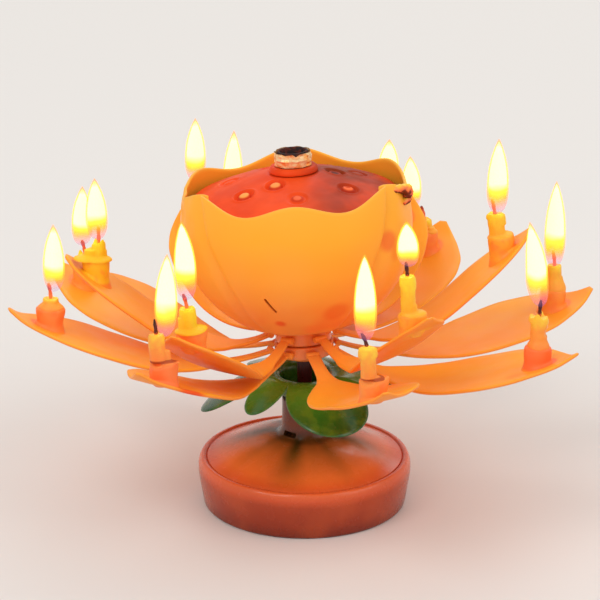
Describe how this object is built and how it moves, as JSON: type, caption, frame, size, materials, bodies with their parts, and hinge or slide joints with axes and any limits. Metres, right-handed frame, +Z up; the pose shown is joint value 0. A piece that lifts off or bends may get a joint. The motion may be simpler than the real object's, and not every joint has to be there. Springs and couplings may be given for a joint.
{
  "type": "musical birthday candle",
  "caption": "Opened lotus-flower birthday candle: small candles on hinged petals round a cup with a sparkler tube, turning on a round music base.",
  "frame": {"origin": "middle of the base's underside, on the table", "axes": "+Z up along the flower's shaft; -Y is the front that the picture shows"},
  "size_m": [0.1632, 0.1626, 0.1033],
  "materials": {
    "petal_plastic": "thin translucent moulded plastic, satin",
    "shell_plastic": "glossy moulded plastic with a soft green airbrushed shade",
    "dark_plastic": "fine matte",
    "leaf_green": "glossy thin moulded plastic",
    "seed_plastic": "satin moulded plastic",
    "shaft_plastic": "smooth",
    "white_plastic": "natural acetal",
    "wax": "soft candle wax with runs",
    "brass": "plain",
    "steel": "plated",
    "foil": "crinkled foil",
    "paper": "rolled paper, singed",
    "burnt": "burnt residue",
    "board_green": "lacquered board"
  },
  "bodies": {
    "base": {"base_housing": "shell_plastic", "base_cover": "dark_plastic", "cover_screw_1": "steel", "cover_screw_2": "steel", "cover_screw_3": "steel", "shaft_bush": "brass", "reduction_axle": "steel", "drive_motor": "steel", "circuit_board": "board_green", "piezo_buzzer": "dark_plastic", "button_cell_1": "steel", "button_cell_2": "steel", "button_cell_3": "steel", "battery_plate": "brass", "battery_contact": "brass", "calyx": "leaf_green"},
    "flower_head": {"flower_shaft": "shaft_plastic", "main_gear": "white_plastic", "lower_hub": "petal_plastic", "upper_hub": "petal_plastic", "cup_petal_1": "petal_plastic", "cup_petal_2": "petal_plastic", "cup_petal_3": "petal_plastic", "seed_head": "seed_plastic", "tube_collar": "seed_plastic", "sparkler_tube": "paper", "sparkler_charge": "burnt", "foil_wrap": "foil"},
    "reduction_gear": {"reduction_gear": "white_plastic"},
    "motor_pinion": {"motor_pinion": "brass"},
    "switch_slider": {"switch_slider": "dark_plastic"},
    "upper_petal_1": {"upper_petal_1": "petal_plastic", "upper_candle_1": "wax"},
    "upper_petal_2": {"upper_petal_2": "petal_plastic", "upper_candle_2": "wax"},
    "upper_petal_3": {"upper_petal_3": "petal_plastic", "upper_candle_3": "wax"},
    "upper_petal_4": {"upper_petal_4": "petal_plastic", "upper_candle_4": "wax"},
    "upper_petal_5": {"upper_petal_5": "petal_plastic", "upper_candle_5": "wax"},
    "upper_petal_6": {"upper_petal_6": "petal_plastic", "upper_candle_6": "wax"},
    "lower_petal_1": {"lower_petal_1": "petal_plastic", "lower_candle_1": "wax"},
    "lower_petal_2": {"lower_petal_2": "petal_plastic", "lower_candle_2": "wax"},
    "lower_petal_3": {"lower_petal_3": "petal_plastic", "lower_candle_3": "wax"},
    "lower_petal_4": {"lower_petal_4": "petal_plastic", "lower_candle_4": "wax"},
    "lower_petal_5": {"lower_petal_5": "petal_plastic", "lower_candle_5": "wax"},
    "lower_petal_6": {"lower_petal_6": "petal_plastic", "lower_candle_6": "wax"},
    "lower_petal_7": {"lower_petal_7": "petal_plastic", "lower_candle_7": "wax"},
    "lower_petal_8": {"lower_petal_8": "petal_plastic", "lower_candle_8": "wax"}
  },
  "joints": [
    {"name": "flower_spin", "type": "hinge", "parent": "base", "child": "flower_head", "pos_m": [0, 0, 0.03], "axis": [0, 0, 1], "continuous": true},
    {"name": "reduction_spin", "type": "hinge", "parent": "base", "child": "reduction_gear", "pos_m": [-0.01006, 0.00581, 0.006], "axis": [0, 0, 1], "continuous": true},
    {"name": "pinion_spin", "type": "hinge", "parent": "base", "child": "motor_pinion", "pos_m": [-0.01695, -0.0016, 0.0067], "axis": [0, 0, 1], "continuous": true},
    {"name": "switch_slide", "type": "slide", "parent": "base", "child": "switch_slider", "axis": [-1, 0, 0], "range_m": [0, 0.0022]},
    {"name": "upper_petal_1_hinge", "type": "hinge", "parent": "flower_head", "child": "upper_petal_1", "pos_m": [0.00423, -0.00729, 0.05123], "axis": [-0.8576, -0.514, -0.0171], "range_deg": [0, 39.3]},
    {"name": "upper_petal_2_hinge", "type": "hinge", "parent": "flower_head", "child": "upper_petal_2", "pos_m": [0.00861, 0.00056, 0.05099], "axis": [0.0138, -0.9979, 0.0637], "range_deg": [0, 33.61]},
    {"name": "upper_petal_3_hinge", "type": "hinge", "parent": "flower_head", "child": "upper_petal_3", "pos_m": [0.00401, 0.00826, 0.05023], "axis": [0.8714, -0.4839, 0.0807], "range_deg": [0, 38.01]},
    {"name": "upper_petal_4_hinge", "type": "hinge", "parent": "flower_head", "child": "upper_petal_4", "pos_m": [-0.00497, 0.00811, 0.04973], "axis": [0.8576, 0.514, 0.0171], "range_deg": [0, 38.01]},
    {"name": "upper_petal_5_hinge", "type": "hinge", "parent": "flower_head", "child": "upper_petal_5", "pos_m": [-0.00936, 0.00025, 0.04997], "axis": [-0.0138, 0.9979, -0.0637], "range_deg": [0, 33.41]},
    {"name": "upper_petal_6_hinge", "type": "hinge", "parent": "flower_head", "child": "upper_petal_6", "pos_m": [-0.00476, -0.00745, 0.05072], "axis": [-0.8714, 0.4839, -0.0807], "range_deg": [0, 40.11]},
    {"name": "lower_petal_1_hinge", "type": "hinge", "parent": "flower_head", "child": "lower_petal_1", "pos_m": [0.00229, -0.00901, 0.04701], "axis": [-0.9653, -0.2583, -0.0394], "range_deg": [0, 36.81]},
    {"name": "lower_petal_2_hinge", "type": "hinge", "parent": "flower_head", "child": "lower_petal_2", "pos_m": [0.00806, -0.0046, 0.04706], "axis": [-0.5023, -0.8643, 0.0255], "range_deg": [0, 43.21]},
    {"name": "lower_petal_3_hinge", "type": "hinge", "parent": "flower_head", "child": "lower_petal_3", "pos_m": [0.00904, 0.0026, 0.04667], "axis": [0.2549, -0.964, 0.0754], "range_deg": [0, 44.21]},
    {"name": "lower_petal_4_hinge", "type": "hinge", "parent": "flower_head", "child": "lower_petal_4", "pos_m": [0.00464, 0.00835, 0.04605], "axis": [0.8628, -0.499, 0.0812], "range_deg": [0, 38.41]},
    {"name": "lower_petal_5_hinge", "type": "hinge", "parent": "flower_head", "child": "lower_petal_5", "pos_m": [-0.00255, 0.0093, 0.04557], "axis": [0.9653, 0.2583, 0.0394], "range_deg": [0, 38.01]},
    {"name": "lower_petal_6_hinge", "type": "hinge", "parent": "flower_head", "child": "lower_petal_6", "pos_m": [-0.00833, 0.00488, 0.04552], "axis": [0.5023, 0.8643, -0.0255], "range_deg": [0, 35.81]},
    {"name": "lower_petal_7_hinge", "type": "hinge", "parent": "flower_head", "child": "lower_petal_7", "pos_m": [-0.0093, -0.00231, 0.04592], "axis": [-0.2549, 0.964, -0.0754], "range_deg": [0, 31.81]},
    {"name": "lower_petal_8_hinge", "type": "hinge", "parent": "flower_head", "child": "lower_petal_8", "pos_m": [-0.0049, -0.00807, 0.04653], "axis": [-0.8628, 0.499, -0.0812], "range_deg": [0, 33.61]}
  ],
  "couplings": [
    {"joint": "reduction_spin", "follows": "flower_spin", "ratio": -3.6},
    {"joint": "pinion_spin", "follows": "flower_spin", "ratio": 10.8},
    {"joint": "upper_petal_2_hinge", "follows": "upper_petal_1_hinge", "ratio": 0.85496},
    {"joint": "upper_petal_3_hinge", "follows": "upper_petal_1_hinge", "ratio": 0.96692},
    {"joint": "upper_petal_4_hinge", "follows": "upper_petal_1_hinge", "ratio": 0.96692},
    {"joint": "upper_petal_5_hinge", "follows": "upper_petal_1_hinge", "ratio": 0.84987},
    {"joint": "upper_petal_6_hinge", "follows": "upper_petal_1_hinge", "ratio": 1.0204},
    {"joint": "lower_petal_1_hinge", "follows": "upper_petal_1_hinge", "ratio": 0.93639},
    {"joint": "lower_petal_2_hinge", "follows": "upper_petal_1_hinge", "ratio": 1.0992},
    {"joint": "lower_petal_3_hinge", "follows": "upper_petal_1_hinge", "ratio": 1.1247},
    {"joint": "lower_petal_4_hinge", "follows": "upper_petal_1_hinge", "ratio": 0.9771},
    {"joint": "lower_petal_5_hinge", "follows": "upper_petal_1_hinge", "ratio": 0.96692},
    {"joint": "lower_petal_6_hinge", "follows": "upper_petal_1_hinge", "ratio": 0.91094},
    {"joint": "lower_petal_7_hinge", "follows": "upper_petal_1_hinge", "ratio": 0.80916},
    {"joint": "lower_petal_8_hinge", "follows": "upper_petal_1_hinge", "ratio": 0.85496}
  ]
}
